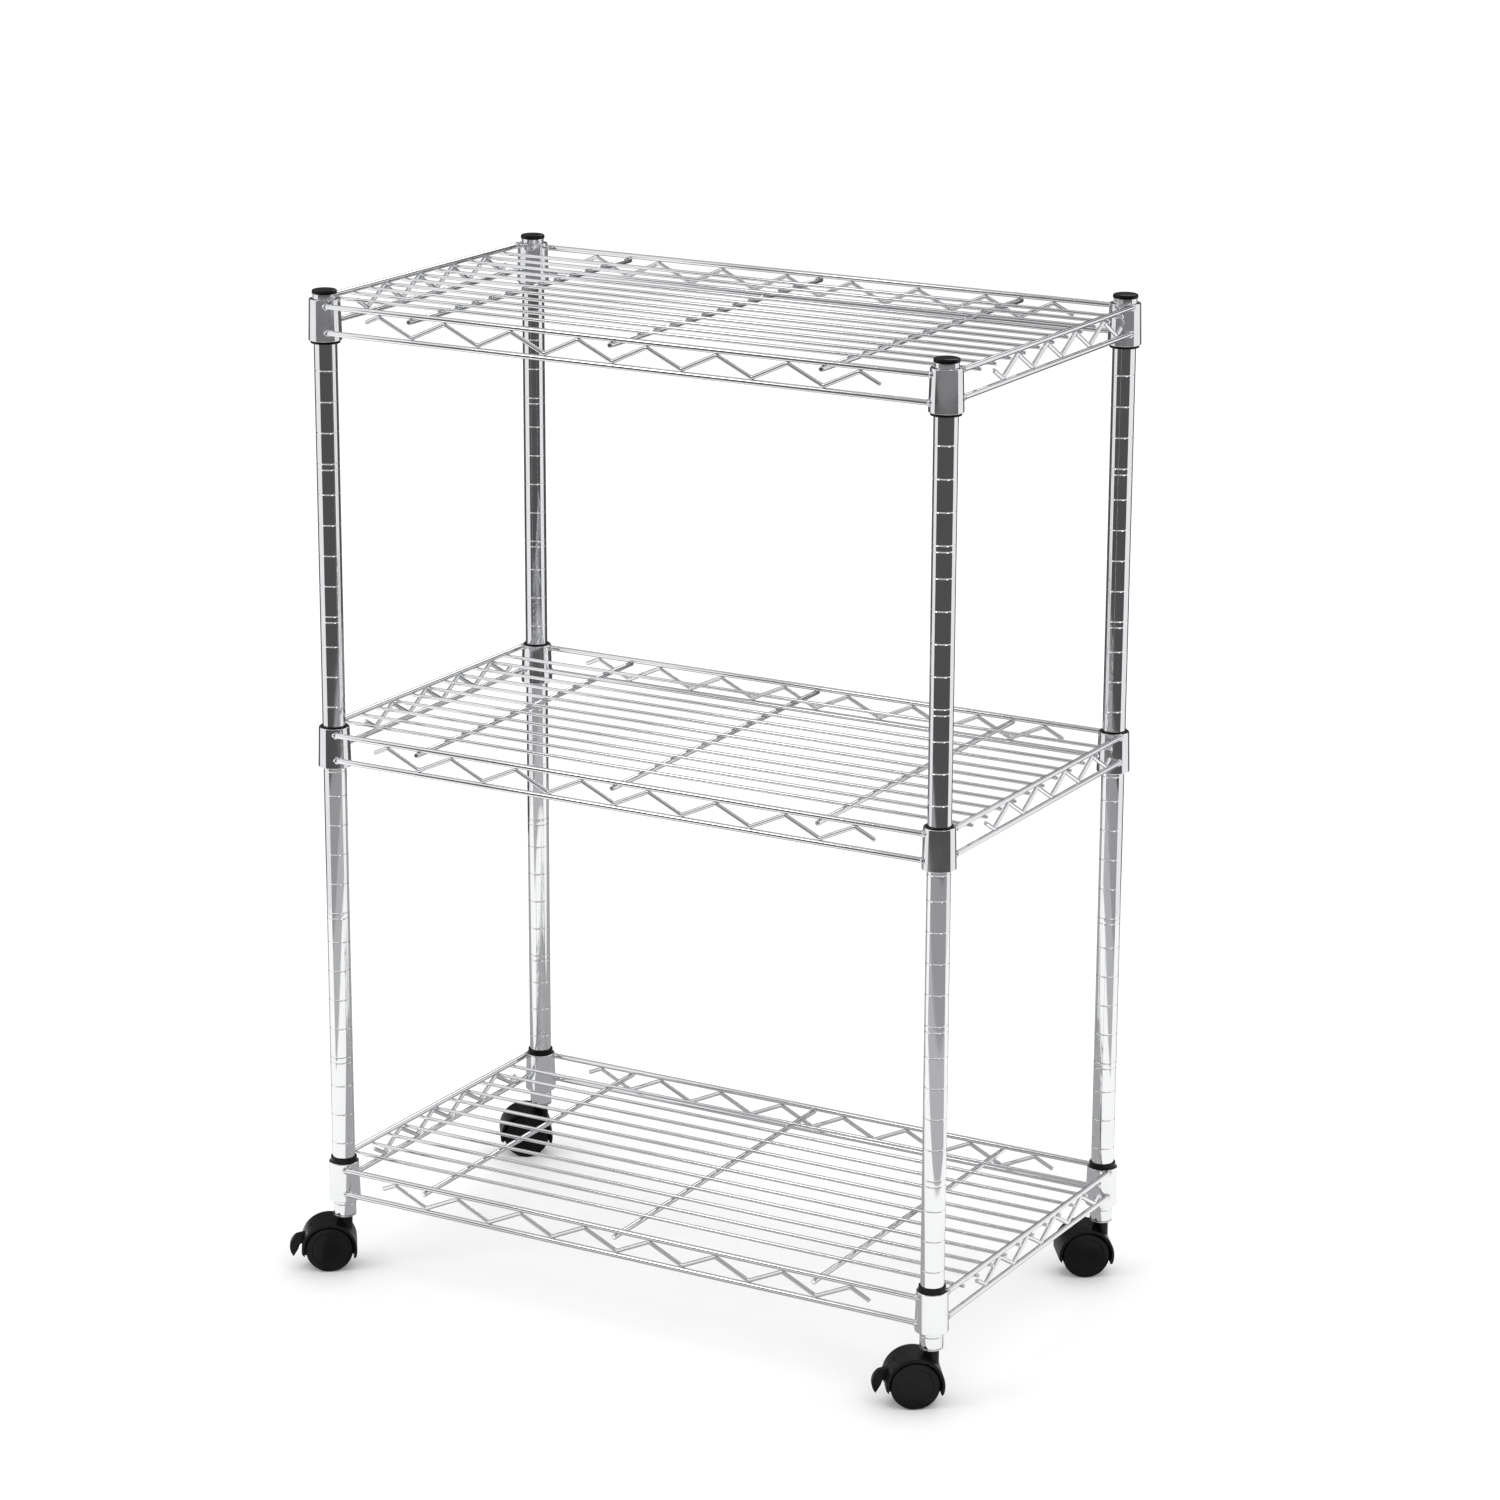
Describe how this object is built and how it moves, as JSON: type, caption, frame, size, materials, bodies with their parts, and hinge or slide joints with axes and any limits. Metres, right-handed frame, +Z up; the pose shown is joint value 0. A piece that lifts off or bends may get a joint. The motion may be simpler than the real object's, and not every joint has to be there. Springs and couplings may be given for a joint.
{
  "type": "wire shelving rack",
  "caption": "Wheeled chrome wire shelving rack: grooved tube posts carry wire shelves on conical collars, and it rolls on swivel casters.",
  "frame": {"origin": "on the floor under the centre of the four posts", "axes": "+X along the long side, towards the right; +Y towards the back; +Z up"},
  "size_m": [0.6177, 0.3646, 0.84],
  "materials": {
    "chrome": "bright chrome plating",
    "black_plastic": "satin moulded plastic",
    "caster_plastic": "satin moulded plastic with a fine texture",
    "wheel_plastic": "smooth hard plastic, lightly scuffed tread",
    "zinc_steel": "bright zinc plating"
  },
  "bodies": {
    "frame": {"post_front_left": "chrome", "post_front_right": "chrome", "post_back_left": "chrome", "post_back_right": "chrome", "post_caps": "black_plastic", "post_inserts": "zinc_steel", "top_shelf_collars": "chrome", "top_shelf_sleeves": "black_plastic", "top_shelf_long_rails": "chrome", "top_shelf_side_rails": "chrome", "top_shelf_long_trusses": "chrome", "top_shelf_side_trusses": "chrome", "top_shelf_crossbars": "chrome", "top_shelf_deck_wires": "chrome", "top_shelf_weld_beads": "chrome", "middle_shelf_collars": "chrome", "middle_shelf_sleeves": "black_plastic", "middle_shelf_long_rails": "chrome", "middle_shelf_side_rails": "chrome", "middle_shelf_long_trusses": "chrome", "middle_shelf_side_trusses": "chrome", "middle_shelf_crossbars": "chrome", "middle_shelf_deck_wires": "chrome", "middle_shelf_weld_beads": "chrome", "bottom_shelf_collars": "chrome", "bottom_shelf_sleeves": "black_plastic", "bottom_shelf_long_rails": "chrome", "bottom_shelf_side_rails": "chrome", "bottom_shelf_long_trusses": "chrome", "bottom_shelf_side_trusses": "chrome", "bottom_shelf_crossbars": "chrome", "bottom_shelf_deck_wires": "chrome", "bottom_shelf_weld_beads": "chrome", "caster_front_left_stem": "zinc_steel", "caster_front_right_stem": "zinc_steel", "caster_back_left_stem": "zinc_steel", "caster_back_right_stem": "zinc_steel"},
    "caster_front_left": {"caster_front_left_housing": "caster_plastic", "caster_front_left_axle": "zinc_steel", "caster_front_left_brake_pin": "zinc_steel"},
    "caster_front_left_wheel_left": {"caster_front_left_wheel_left": "wheel_plastic"},
    "caster_front_left_wheel_right": {"caster_front_left_wheel_right": "wheel_plastic"},
    "caster_front_left_brake_lever": {"caster_front_left_brake_lever": "caster_plastic"},
    "caster_front_right": {"caster_front_right_housing": "caster_plastic", "caster_front_right_axle": "zinc_steel", "caster_front_right_brake_pin": "zinc_steel"},
    "caster_front_right_wheel_left": {"caster_front_right_wheel_left": "wheel_plastic"},
    "caster_front_right_wheel_right": {"caster_front_right_wheel_right": "wheel_plastic"},
    "caster_front_right_brake_lever": {"caster_front_right_brake_lever": "caster_plastic"},
    "caster_back_left": {"caster_back_left_housing": "caster_plastic", "caster_back_left_axle": "zinc_steel"},
    "caster_back_left_wheel_left": {"caster_back_left_wheel_left": "wheel_plastic"},
    "caster_back_left_wheel_right": {"caster_back_left_wheel_right": "wheel_plastic"},
    "caster_back_right": {"caster_back_right_housing": "caster_plastic", "caster_back_right_axle": "zinc_steel"},
    "caster_back_right_wheel_left": {"caster_back_right_wheel_left": "wheel_plastic"},
    "caster_back_right_wheel_right": {"caster_back_right_wheel_right": "wheel_plastic"}
  },
  "joints": [
    {"name": "swivel_front_left", "type": "hinge", "parent": "frame", "child": "caster_front_left", "pos_m": [-0.28, -0.1555, 0.042], "axis": [0, 0, 1], "continuous": true},
    {"name": "roll_front_left_left", "type": "hinge", "parent": "caster_front_left", "child": "caster_front_left_wheel_left", "pos_m": [-0.29139, -0.16347, 0.02], "axis": [0.5736, -0.8192, 0], "continuous": true},
    {"name": "roll_front_left_right", "type": "hinge", "parent": "caster_front_left", "child": "caster_front_left_wheel_right", "pos_m": [-0.29139, -0.16347, 0.02], "axis": [0.5736, -0.8192, 0], "continuous": true},
    {"name": "brake_front_left", "type": "hinge", "parent": "caster_front_left", "child": "caster_front_left_brake_lever", "pos_m": [-0.30527, -0.1732, 0.02901], "axis": [0.5736, -0.8192, 0], "range_deg": [0, 14]},
    {"name": "swivel_front_right", "type": "hinge", "parent": "frame", "child": "caster_front_right", "pos_m": [0.28, -0.1555, 0.042], "axis": [0, 0, 1], "continuous": true},
    {"name": "roll_front_right_left", "type": "hinge", "parent": "caster_front_right", "child": "caster_front_right_wheel_left", "pos_m": [0.26861, -0.16347, 0.02], "axis": [0.5736, -0.8192, 0], "continuous": true},
    {"name": "roll_front_right_right", "type": "hinge", "parent": "caster_front_right", "child": "caster_front_right_wheel_right", "pos_m": [0.26861, -0.16347, 0.02], "axis": [0.5736, -0.8192, 0], "continuous": true},
    {"name": "brake_front_right", "type": "hinge", "parent": "caster_front_right", "child": "caster_front_right_brake_lever", "pos_m": [0.25473, -0.1732, 0.02901], "axis": [0.5736, -0.8192, 0], "range_deg": [0, 14]},
    {"name": "swivel_back_left", "type": "hinge", "parent": "frame", "child": "caster_back_left", "pos_m": [-0.28, 0.1555, 0.042], "axis": [0, 0, 1], "continuous": true},
    {"name": "roll_back_left_left", "type": "hinge", "parent": "caster_back_left", "child": "caster_back_left_wheel_left", "pos_m": [-0.29139, 0.14753, 0.02], "axis": [0.5736, -0.8192, 0], "continuous": true},
    {"name": "roll_back_left_right", "type": "hinge", "parent": "caster_back_left", "child": "caster_back_left_wheel_right", "pos_m": [-0.29139, 0.14753, 0.02], "axis": [0.5736, -0.8192, 0], "continuous": true},
    {"name": "swivel_back_right", "type": "hinge", "parent": "frame", "child": "caster_back_right", "pos_m": [0.28, 0.1555, 0.042], "axis": [0, 0, 1], "continuous": true},
    {"name": "roll_back_right_left", "type": "hinge", "parent": "caster_back_right", "child": "caster_back_right_wheel_left", "pos_m": [0.26861, 0.14753, 0.02], "axis": [0.5736, -0.8192, 0], "continuous": true},
    {"name": "roll_back_right_right", "type": "hinge", "parent": "caster_back_right", "child": "caster_back_right_wheel_right", "pos_m": [0.26861, 0.14753, 0.02], "axis": [0.5736, -0.8192, 0], "continuous": true}
  ]
}
